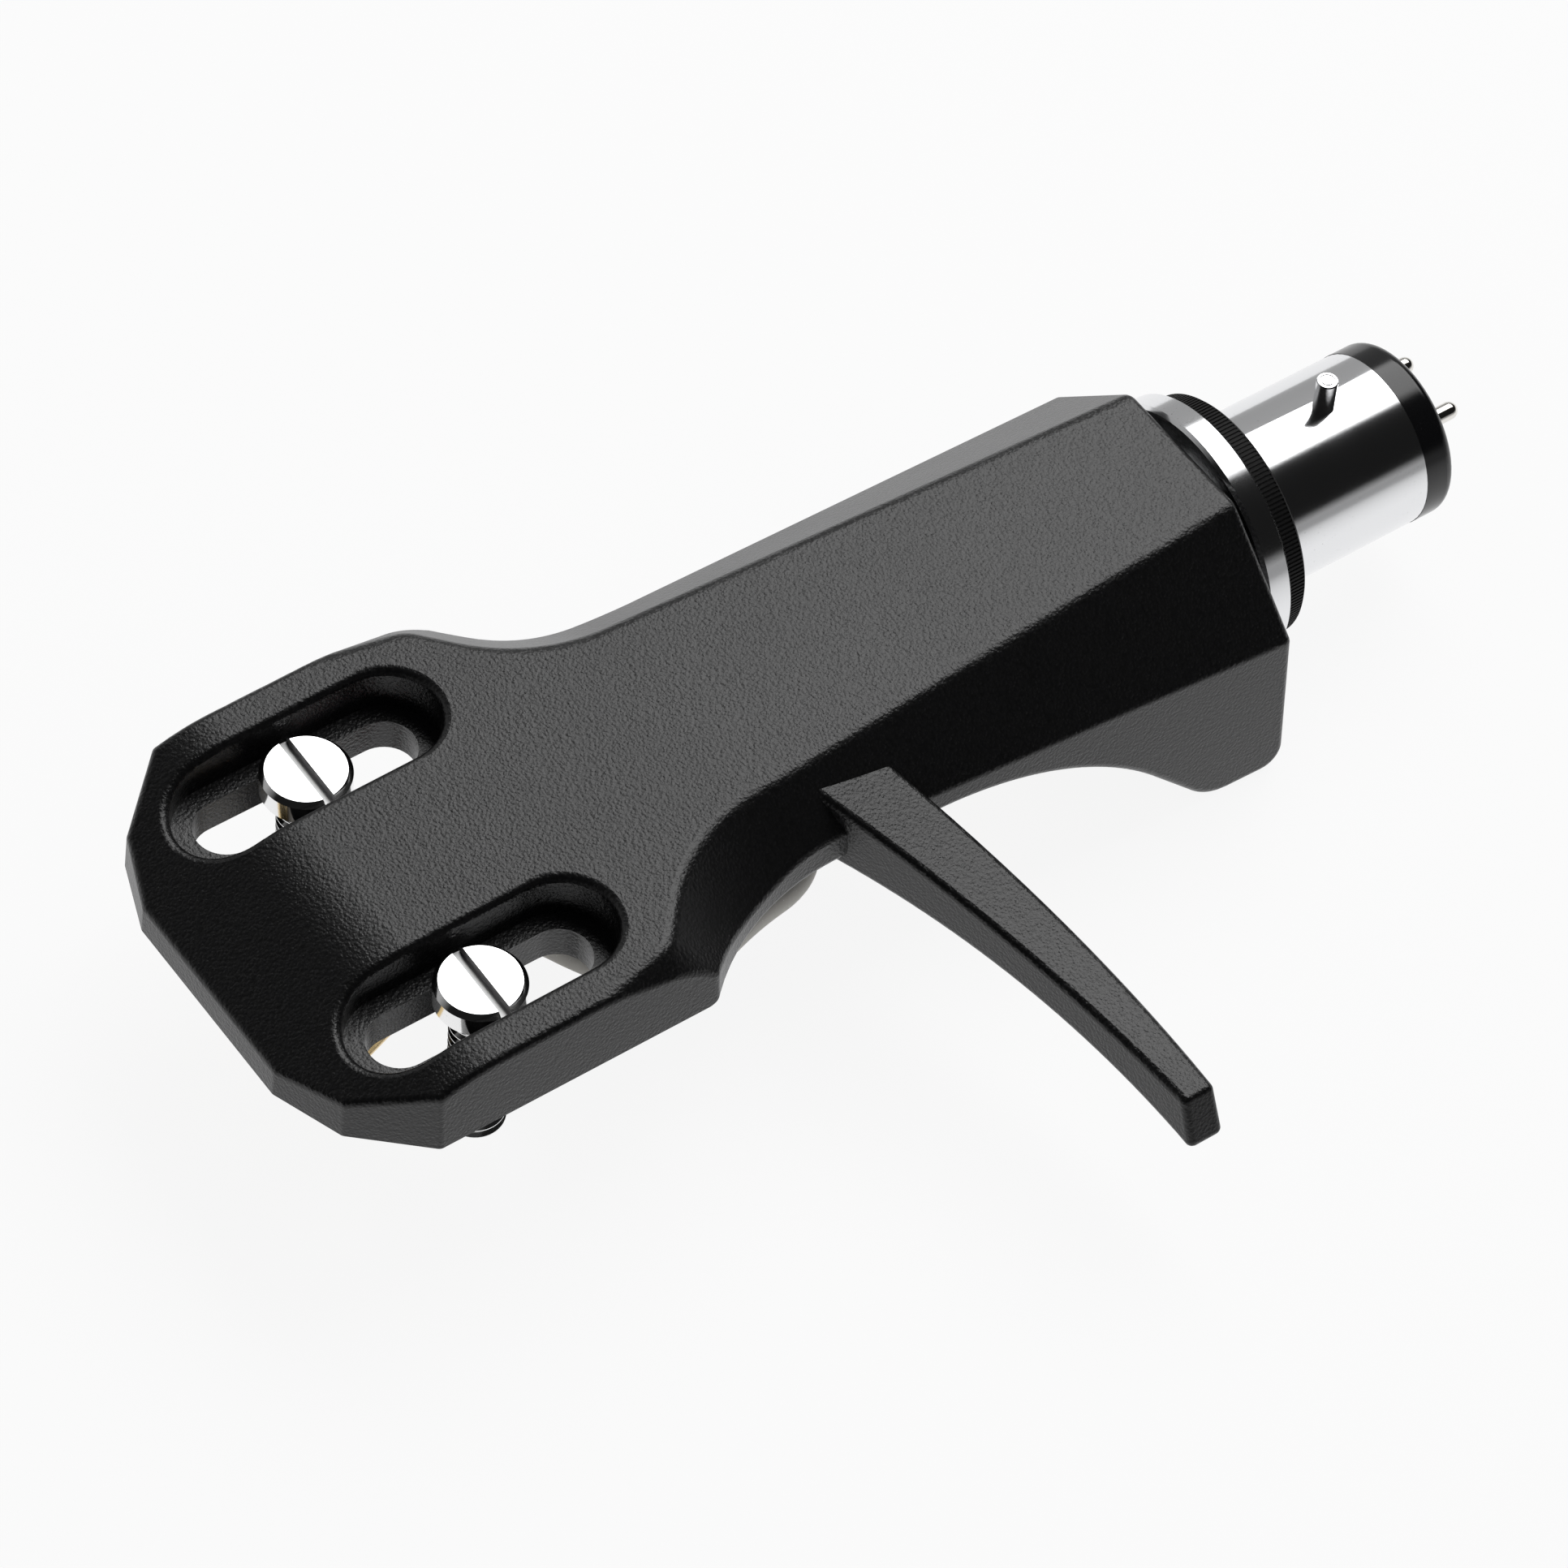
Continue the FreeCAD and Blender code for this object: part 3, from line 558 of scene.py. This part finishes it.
class Finishes:
    """Every finish of the headshell, made once."""

    def __init__(self) -> None:
        """Make the materials."""
        effects = Effects()
        self.paint = GrainedPaint("cast_paint").make(effects)
        self.chrome = Plating("plug_chrome").make(effects)
        self.pin = Plating("pin_steel", roughness=0.14, spread=0.06, depth_mm=0.004).make(effects)
        self.rubber = Rubber("washer_rubber").make(effects)
        self.insulator = Moulding("insulator_black", (0.005, 0.005, 0.0055), 0.16,
                                  0.001).make(effects)
        self.screw = Plating("screw_bright", colour=(0.86, 0.86, 0.86), roughness=0.12,
                             spread=0.06, depth_mm=0.0015).make(effects)
        # painted shade: the drive slot's faces are darker than the head, besides being rougher
        self.slot_dull_and_shaded = Plating("screw_slot_dull_and_shaded", colour=(0.62, 0.62, 0.62), dull=(0.4, 0.4, 0.4),
                            roughness=0.46, spread=0.1, depth_mm=0.006).make(effects)
        self.set_screw = Plating("set_screw_dark", colour=(0.2, 0.2, 0.21), dull=(0.1, 0.1, 0.1),
                                 roughness=0.3).make(effects)
        self.contact = Plating("contact_plating", colour=(0.8, 0.78, 0.74), roughness=0.12,
                               spread=0.04).make(effects)
        self.clip = Plating("clip_brass", colour=(0.8, 0.6, 0.3), dull=(0.5, 0.36, 0.18),
                            roughness=0.25, spread=0.08).make(effects)
        self.wire = {
            Channel.WHITE: Moulding("wire_white", (0.72, 0.7, 0.64), 0.5).make(effects),
            Channel.BLUE: Moulding("wire_blue", (0.02, 0.09, 0.42), 0.5).make(effects),
            Channel.RED: Moulding("wire_red", (0.5, 0.02, 0.02), 0.5).make(effects),
            Channel.GREEN: Moulding("wire_green", (0.02, 0.25, 0.08), 0.5).make(effects),
        }


class Assembly:
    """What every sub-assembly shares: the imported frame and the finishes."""

    def __init__(self, frame: dict, finishes: Finishes) -> None:
        """Keep what the pieces are made from.

        Args:
            finishes: The materials.
        """
        self.nodes: dict[str, bpy.types.Object] = frame["nodes"]
        self.finishes = finishes

    def paint_node(self, name: str, material: bpy.types.Material) -> None:
        """Give a CAD node its finish.

        Args:
            name: Name of the node.
            material: Its finish.
        """
        node = self.nodes[name]
        node.data.materials.clear()
        node.data.materials.append(material)
        LOG.info("node %s: %s", name, material.name)

    def fit_piece(self, piece: bpy.types.Object, material: bpy.types.Material,
                  slot: str, node: str) -> bpy.types.Object:
        """Finish a new piece and let it ride on the body, in place of a CAD node.

        Args:
            piece: The new piece.
            material: Its finish.
            slot: The record's material slot; not used.
            node: The CAD node that it stands for.

        Returns:
            The same piece.
        """
        piece.data.materials.clear()
        piece.data.materials.append(material)
        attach(piece, BODY)
        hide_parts(node)
        LOG.info("piece %s: %s", piece.name, material.name)
        return piece


class Casting(Assembly):
    """Head, neck and finger lift."""

    def build(self) -> None:
        """Dress the casting."""
        self.paint_node("shell", self.finishes.paint)


@dataclass
class BayonetPlug(Assembly):
    """Tube, collar, locating pin, ribbed washer and insulator. Sizes are in millimetres."""

    frame: dict
    finishes: Finishes
    washer_steps: int = 360
    washer_bore: float = 4.0
    rib_depth: float = 0.05
    pin_steps: int = 64
    pin_groove: float = 0.03
    pin_chamfer: float = 0.05

    def __post_init__(self) -> None:
        """Take the frame's nodes."""
        super().__init__(self.frame, self.finishes)

    def build_washer(self) -> bpy.types.Object:
        """Rubber ring with fine ribs around its rim.

        Returns:
            The washer.
        """
        low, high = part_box("rubber_washer")
        outer, thick = (high.y - low.y) / 2 / MM, (high.x - low.x) / MM
        lip = 0.12 * thick
        washer = turned("washer_ribbed", [
            (self.washer_bore, 0), (outer - lip, 0), (outer, lip), (outer, thick - lip),
            (outer - lip, thick), (self.washer_bore, thick), (self.washer_bore, 0)],
            self.washer_steps, Vector((low.x, 0, 0)), ALONG)
        activate(washer)
        bpy.ops.object.mode_set(mode="EDIT")
        step = 2 * math.pi / self.washer_steps

        def is_valley(face: bmesh.types.BMFace) -> bool:
            middle = face.calc_center_median()
            turn = int(math.atan2(middle.y, middle.x) // step)
            on_rim = math.hypot(middle.x, middle.y) > (outer - 0.4 * lip) * MM
            return on_rim and turn % 2 == 0

        pick(washer, Pick.FACES, is_valley)
        bpy.ops.mesh.extrude_region_shrink_fatten(
            TRANSFORM_OT_shrink_fatten={"value": -self.rib_depth * MM})
        close_shape()
        bpy.ops.object.mode_set(mode="OBJECT")
        shade(washer, 25.0)
        return settle(washer, "washer_ribbed")

    def build_pin(self) -> bpy.types.Object:
        """Turned locating pin with a ring left by the tool on its face.

        Returns:
            The pin.
        """
        low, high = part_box("locating_pin")
        radius, height = (high.x - low.x) / 2 / MM, (high.z - low.z) / MM
        groove, chamfer = self.pin_groove, self.pin_chamfer
        pin = turned("locating_pin_turned", [
            (radius, 0), (radius, height - chamfer), (radius - chamfer, height),
            (0.72 * radius, height), (0.66 * radius, height - groove),
            (0.58 * radius, height - groove), (0.52 * radius, height),
            (0.2 * radius, height - groove / 2)],
            self.pin_steps, Vector(((low.x + high.x) / 2, 0, low.z)), UP)
        shade(pin, 25.0)
        return settle(pin, "locating_pin_turned")

    def build(self) -> None:
        """Dress the plug."""
        self.paint_node("plug_tube", self.finishes.chrome)
        self.fit_piece(self.build_pin(), self.finishes.pin, "plug_chrome", "locating_pin")
        self.fit_piece(self.build_washer(), self.finishes.rubber, "washer_rubber",
                       "rubber_washer")
        self.paint_node("contact_insulator", self.finishes.insulator)
        self.paint_node("tube_set_screw", self.finishes.set_screw)
        for channel in Channel:
            self.paint_node(f"contact_pin_{channel.value}", self.finishes.contact)


@dataclass
class CartridgeScrews(Assembly):
    """The two slotted cheese-head screws, with their threads. Sizes are in millimetres."""

    frame: dict
    finishes: Finishes
    head_height: float = 1.2
    bevel: float = 0.22
    crest: float = 1.24
    root: float = 1.0
    pitch: float = 0.45
    crest_flat: float = 0.1
    slot_width: float = 0.5
    slot_depth: float = 0.4
    slot_turn: float = 89.0
    burnish: float = 0.025
    foot_chamfer: float = 0.05
    head_steps: int = 96
    thread_steps: int = 48

    def __post_init__(self) -> None:
        """Take the frame's nodes."""
        super().__init__(self.frame, self.finishes)

    def build_head(self, foot: Vector, radius: float) -> bpy.types.Object:
        """Bevelled head with its drive slot cut by a Boolean.

        Args:
            foot: Middle of the head's seat, in metres.
            radius: Radius of the head.

        Returns:
            The head.
        """
        top = self.head_height
        head = turned("screw_head", [
            (radius - self.foot_chamfer, 0), (radius, self.foot_chamfer),
            (radius, top - self.bevel),
            (radius - 0.6 * self.bevel, top - 0.3 * self.bevel), (radius - self.bevel, top)],
            self.head_steps, foot, UP)
        deselect()
        bpy.ops.mesh.primitive_cube_add(size=1, location=foot + Vector((0, 0, top * MM)),
                                        rotation=(0, 0, math.radians(self.slot_turn)))
        cutter = bpy.context.object
        cutter.scale = (2.4 * radius * MM, self.slot_width * MM, 2 * self.slot_depth * MM)
        cut = head.modifiers.new("drive_slot", "BOOLEAN")
        cut.object, cut.operation, cut.solver = cutter, "DIFFERENCE", "EXACT"
        apply_modifiers(head)
        bpy.data.objects.remove(cutter)
        activate(head)
        bpy.ops.object.mode_set(mode="EDIT")
        bpy.ops.mesh.select_all(action="SELECT")
        bpy.ops.mesh.dissolve_limited(angle_limit=math.radians(1))
        bpy.ops.object.mode_set(mode="OBJECT")
        edges = head.modifiers.new("burnish", "BEVEL")
        edges.width, edges.segments = self.burnish * MM, 2
        edges.limit_method, edges.angle_limit = "ANGLE", math.radians(50)
        apply_modifiers(head)
        return head

    def build_thread(self, tip: Vector, length: float) -> bpy.types.Object:
        """Threaded shank: a helix raised by the Screw modifier round a plain core.

        Args:
            tip: Foot of the screw's axis, in metres.
            length: Length of the shank.

        Returns:
            The shank.
        """
        inside, depth = self.root - 0.06, self.crest - self.root + 0.06
        deselect()
        bpy.ops.mesh.primitive_plane_add(
            size=1, rotation=(math.pi / 2, 0, 0),
            location=((inside + depth / 2) * MM, 0, self.pitch / 2 * MM))
        helix = bpy.context.object
        helix.scale = (depth * MM, (self.pitch - 0.02) * MM, 1)
        bpy.ops.object.transform_apply(location=True, rotation=True, scale=True)
        bpy.ops.object.mode_set(mode="EDIT")
        pick(helix, Pick.POINTS, lambda point: point.co.x > self.root * MM)
        bpy.ops.transform.resize(value=(1, 1, self.crest_flat))
        bpy.ops.mesh.select_all(action="SELECT")
        bpy.ops.mesh.delete(type="ONLY_FACE")
        bpy.ops.object.mode_set(mode="OBJECT")
        wind = helix.modifiers.new("wind", "SCREW")
        wind.axis, wind.screw_offset = "Z", self.pitch * MM
        wind.steps = wind.render_steps = self.thread_steps
        wind.iterations = int(length / self.pitch) - 1
        apply_modifiers(helix)
        bpy.ops.object.mode_set(mode="EDIT")
        bpy.ops.mesh.select_mode(type="EDGE")
        bpy.ops.mesh.select_all(action="DESELECT")
        bpy.ops.mesh.select_non_manifold()
        bpy.ops.mesh.fill()
        close_shape()
        bpy.ops.object.mode_set(mode="OBJECT")
        helix.location = tip + Vector((0, 0, 0.3 * self.pitch * MM))
        chamfer = self.crest - self.root + 0.1
        core = turned("screw_core", [
            (self.root - chamfer, 0), (self.root, chamfer), (self.root, length)],
            self.thread_steps, tip, UP)
        activate(core)
        helix.select_set(True)
        bpy.ops.object.join()
        return core

    def build_screw(self, side: str) -> bpy.types.Object:
        """One whole screw in the place of its CAD node.

        Args:
            side: Which slot it stands in.

        Returns:
            The screw.
        """
        low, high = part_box(f"mounting_screw_{side}")
        x, y = (low.x + high.x) / 2, (low.y + high.y) / 2
        seat = high.z - self.head_height * MM
        head = self.build_head(Vector((x, y, seat)), (high.x - low.x) / 2 / MM)
        shank = self.build_thread(Vector((x, y, low.z)), (seat - low.z) / MM)
        activate(head)
        shank.select_set(True)
        bpy.ops.object.join()
        shade(head, 14.0)
        return settle(head, f"screw_{side}_threaded")

    def dull_and_shade_slot(self, screw: bpy.types.Object, side: str) -> None:
        """Give the faces of the drive slot a duller finish and a darker colour, which is painted
        shade in the slot.

        Args:
            screw: The finished screw.
            side: Which slot it stands in.
        """
        # the darker slot colour is painted shade; its higher roughness is a duller finish
        screw.data.materials.append(self.finishes.slot_dull_and_shaded)
        low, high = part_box(f"mounting_screw_{side}")
        middle = Vector(((low.x + high.x) / 2, (low.y + high.y) / 2, high.z))
        turn, hair = math.radians(self.slot_turn), 0.01 * MM
        across = Vector((-math.sin(turn), math.cos(turn), 0.0))
        for face in screw.data.polygons:
            offset = face.center - middle
            inside = abs(offset.dot(across)) < self.slot_width / 2 * MM + hair
            sunk = -self.slot_depth * MM - hair < offset.z < -3 * hair
            face.material_index = int(inside and sunk)

    def build(self) -> None:
        """Put both screws in."""
        for side in ("near", "far"):
            screw = self.fit_piece(self.build_screw(side), self.finishes.screw, "screw_steel",
                                   f"mounting_screw_{side}")
            self.dull_and_shade_slot(screw, side)


@dataclass(frozen=True)
class LeadRoute:
    """Way of one lead: its contact's place and its control points, in millimetres from there."""

    side: int
    level: int
    length: float
    steps: tuple[tuple[float, float, float], ...]


ROUTES = {
    Channel.WHITE: LeadRoute(-1, 1, 31.0, (
        (-2.9, 0.0, 0.0), (-5.2, -1.6, -1.1), (-6.9, -5.1, -1.4), (-11.0, -5.8, -1.1),
        (-13.5, -5.6, -4.0), (-15.4, -2.3, -4.9), (-18.2, 0.0, -2.5), (-21.5, -0.2, -1.3),
        (-24.4, -1.2, -1.3))),
    Channel.BLUE: LeadRoute(-1, -1, 30.48, (
        (-3.2, 0.0, 0.0), (-5.9, -1.6, -1.9), (-8.5, -2.7, -2.5), (-11.6, -1.5, -2.8),
        (-13.5, 2.2, -3.1), (-15.4, 3.9, -1.0), (-17.7, 2.9, 1.4), (-21.2, 0.6, 2.0),
        (-24.7, 1.2, 1.9))),
    Channel.RED: LeadRoute(1, 1, 30.51, (
        (-3.2, 0.0, 0.0), (-6.1, 2.2, -1.8), (-8.3, 5.5, -3.8), (-11.3, 5.8, -5.4),
        (-14.5, 4.6, -5.3), (-15.9, 1.9, -3.8), (-18.8, 0.8, -2.8), (-21.6, 1.0, -1.0),
        (-24.4, 2.4, -1.0))),
    Channel.GREEN: LeadRoute(1, -1, 30.49, (
        (-3.4, 0.0, 0.0), (-6.6, 0.4, -1.1), (-8.9, 3.6, -2.3), (-12.0, 4.4, -2.7),
        (-14.9, 3.1, -2.7), (-16.7, 0.0, -3.0), (-18.8, -1.7, -0.6), (-21.6, -0.5, 1.9),
        (-24.8, 0.1, 1.9))),
}


@dataclass
class Leads(Assembly):
    """Four insulated leads with a sprung clip at each end. Sizes are in millimetres."""

    frame: dict
    finishes: Finishes
    contact_end: float = -19.4
    contact_half: float = 1.53
    diameter: float = 1.0

    def __post_init__(self) -> None:
        """Take the frame's nodes."""
        super().__init__(self.frame, self.finishes)

    def build_wire(self, channel: Channel) -> bpy.types.Object:
        """One lead as a smooth curve through its route.

        Args:
            channel: Which lead.

        Returns:
            The curve.
        """
        route = ROUTES[channel]
        start = Vector((self.contact_end, route.side * self.contact_half,
                        route.level * self.contact_half))
        points = [start] + [start + Vector(step) for step in route.steps]
        curve = bpy.data.curves.new(f"wire_{channel.value}", "CURVE")
        curve.dimensions = "3D"
        curve.bevel_depth = self.diameter / 2 * MM
        curve.bevel_resolution = 6
        curve.use_fill_caps = True
        curve.resolution_u = 16
        line = curve.splines.new("NURBS")
        line.points.add(len(points) - 1)
        for control, point in zip(line.points, points):
            control.co = (*(point * MM), 1.0)
        line.order_u = 3
        line.use_endpoint_u = True
        wire = bpy.data.objects.new(f"wire_{channel.value}", curve)
        bpy.context.scene.collection.objects.link(wire)
        wire.data.materials.append(self.finishes.wire[channel])
        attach(wire, BODY)
        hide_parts(f"lead_{channel.value}")
        LOG.info("lead %s: %.1f mm", channel.value, route.length)
        return wire

    def build(self) -> None:
        """Lay the leads and dress their clips."""
        for channel in Channel:
            self.build_wire(channel)
            self.paint_node(f"plug_clip_{channel.value}", self.finishes.clip)
            self.paint_node(f"cartridge_clip_{channel.value}", self.finishes.clip)


@dataclass
class Studio:
    """Pale floor, one overhead softbox and the camera. Sizes are in metres."""

    floor_level: float = -0.00622
    softbox_place: tuple[float, float, float] = (0.32, 0.22, 0.45)
    softbox_size: tuple[float, float] = (0.54, 0.63)
    softbox_edge: float = 0.16
    floor_white: float = 0.9
    mirrored_from: tuple[float, float] = (-0.06, 0.35)
    mirrored_to: tuple[float, float] = (-0.012, 1.0)
    softbox_watts: float = 3.9
    camera_place: tuple[float, float, float] = (-0.143716, -0.148768, 0.234971)
    azimuth: float = -0.682
    elevation: float = 0.893
    roll: float = 0.087
    lens: float = 167.7

    def build(self) -> None:
        """Set the studio up."""
        self.build_floor()
        self.build_softbox()
        self.build_world()
        bpy.context.scene.view_settings.view_transform = "Standard"

    def build_floor(self) -> None:
        """A wide matt floor: white in the picture, shadowed, and dimmer far off in mirrors."""
        deselect()
        bpy.ops.mesh.primitive_plane_add(size=6.0, location=(0, 0, self.floor_level))
        floor = bpy.context.object
        floor.name = "studio_floor"
        material = bpy.data.materials.new("floor_white")
        material.use_nodes = True
        graph = Graph(material.node_tree)
        nodes = material.node_tree.nodes
        nodes.remove(nodes["Principled BSDF"])
        matt = graph.add("ShaderNodeBsdfDiffuse", Color=(0.86, 0.86, 0.86, 1))
        glow = graph.add("ShaderNodeEmission", Color=(1, 1, 1, 1), Strength=1.0)
        rays = graph.add("ShaderNodeLightPath")
        seen = graph.math("MULTIPLY", rays.outputs["Is Camera Ray"], self.floor_white)
        mixed = graph.tree.nodes.new("ShaderNodeMixShader")
        graph.put(mixed, 0, seen)
        graph.put(mixed, 1, matt.outputs[0])
        graph.put(mixed, 2, glow.outputs[0])
        place = graph.add("ShaderNodeSeparateXYZ",
                          Vector=graph.add("ShaderNodeTexCoord").outputs["Object"])
        fade = graph.add("ShaderNodeMapRange", Value=place.outputs["Y"])
        fade.inputs["From Min"].default_value, fade.inputs["To Min"].default_value = (
            self.mirrored_from)
        fade.inputs["From Max"].default_value, fade.inputs["To Max"].default_value = (
            self.mirrored_to)
        mirrored = graph.add("ShaderNodeEmission", Color=(0.95, 0.95, 0.955, 1),
                             Strength=fade.outputs[0])
        final = graph.tree.nodes.new("ShaderNodeMixShader")
        graph.put(final, 0, rays.outputs["Is Glossy Ray"])
        graph.put(final, 1, mixed.outputs[0])
        graph.put(final, 2, mirrored.outputs[0])
        graph.put(nodes["Material Output"], "Surface", final.outputs[0])
        floor.data.materials.append(material)

    def build_softbox(self) -> None:
        """One large lamp above the far side, whose light fades towards its rim."""
        lamp = bpy.data.lights.new("softbox", "AREA")
        lamp.shape = "RECTANGLE"
        lamp.size, lamp.size_y = self.softbox_size
        lamp.energy = self.softbox_watts
        lamp.use_nodes = True
        graph = Graph(lamp.node_tree)
        across = graph.add("ShaderNodeSeparateXYZ",
                           Vector=graph.add("ShaderNodeNewGeometry").outputs["Parametric"])
        inward = [graph.math("SUBTRACT", 0.5, graph.math(
            "ABSOLUTE", graph.math("SUBTRACT", across.outputs[way], 0.5))) for way in "XY"]
        soft = graph.add("ShaderNodeMapRange", Value=graph.math("MINIMUM", *inward))
        soft.interpolation_type = "SMOOTHSTEP"
        soft.inputs["From Max"].default_value = self.softbox_edge
        graph.put(lamp.node_tree.nodes["Emission"], "Strength", soft.outputs[0])
        lamp_object = bpy.data.objects.new("softbox", lamp)
        lamp_object.location = self.softbox_place
        bpy.context.scene.collection.objects.link(lamp_object)

    def build_world(self) -> None:
        """Pale walls near the floor and a dark ceiling; the picture's background is white."""
        world = bpy.data.worlds.new("studio_walls")
        bpy.context.scene.world = world
        world.use_nodes = True
        graph = Graph(world.node_tree)
        nodes = world.node_tree.nodes
        way = graph.add("ShaderNodeSeparateXYZ",
                        Vector=graph.add("ShaderNodeTexCoord").outputs["Generated"])
        walls = graph.add("ShaderNodeValToRGB", Fac=way.outputs["Z"])
        ramp = walls.color_ramp
        ramp.elements[0].position, ramp.elements[0].color = 0.0, (0.4, 0.4, 0.4, 1)
        ramp.elements[1].position, ramp.elements[1].color = 0.16, (0.01, 0.01, 0.01, 1)
        far = graph.add("ShaderNodeMapRange", Value=way.outputs["Y"])
        far.inputs["From Min"].default_value = 0.2
        far.inputs["From Max"].default_value = 0.6
        low = graph.add("ShaderNodeMapRange", Value=way.outputs["Z"])
        low.inputs["From Min"].default_value = 0.75
        low.inputs["From Max"].default_value = 0.5
        back = graph.math("MULTIPLY", far.outputs[0], low.outputs[0])
        glossy = graph.mix(graph.math("MULTIPLY", back, 0.9), walls.outputs[0],
                           (0.4, 0.4, 0.4, 1))
        rays = graph.add("ShaderNodeLightPath")
        colour = graph.mix(rays.outputs["Is Diffuse Ray"], glossy, (0.3, 0.3, 0.31, 1))
        colour = graph.mix(rays.outputs["Is Camera Ray"], colour, (1, 1, 1, 1))
        graph.put(nodes["Background"], "Color", colour)
        graph.put(nodes["Background"], "Strength", 1.0)

    def build_camera(self) -> None:
        """The camera, where the photograph was taken from."""
        camera = bpy.data.cameras.new("camera")
        camera.sensor_width = 36.0
        camera.sensor_fit = "AUTO"
        camera.lens = self.lens
        camera.clip_start, camera.clip_end = 0.01, 20.0
        rig = bpy.data.objects.new("camera", camera)
        bpy.context.scene.collection.objects.link(rig)
        back = Vector((math.sin(self.azimuth) * math.cos(self.elevation),
                       -math.cos(self.azimuth) * math.cos(self.elevation),
                       math.sin(self.elevation)))
        right = Vector((math.cos(self.azimuth), math.sin(self.azimuth), 0.0))
        upward = back.cross(right)
        level = math.cos(self.roll) * right + math.sin(self.roll) * upward
        upright = -math.sin(self.roll) * right + math.cos(self.roll) * upward
        turn = Matrix((level, upright, back)).transposed().to_4x4()
        rig.matrix_world = Matrix.Translation(Vector(self.camera_place)) @ turn
        bpy.context.scene.camera = rig


def main() -> None:
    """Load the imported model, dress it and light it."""
    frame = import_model()
    finishes = Finishes()
    studio = Studio()
    studio.build_camera()
    for part in (Leads, Casting, BayonetPlug, CartridgeScrews):
        part(frame, finishes).build()
    studio.build()


if __name__ == "__main__":
    logging.basicConfig(level=logging.INFO, format="%(name)s: %(message)s")
    main()
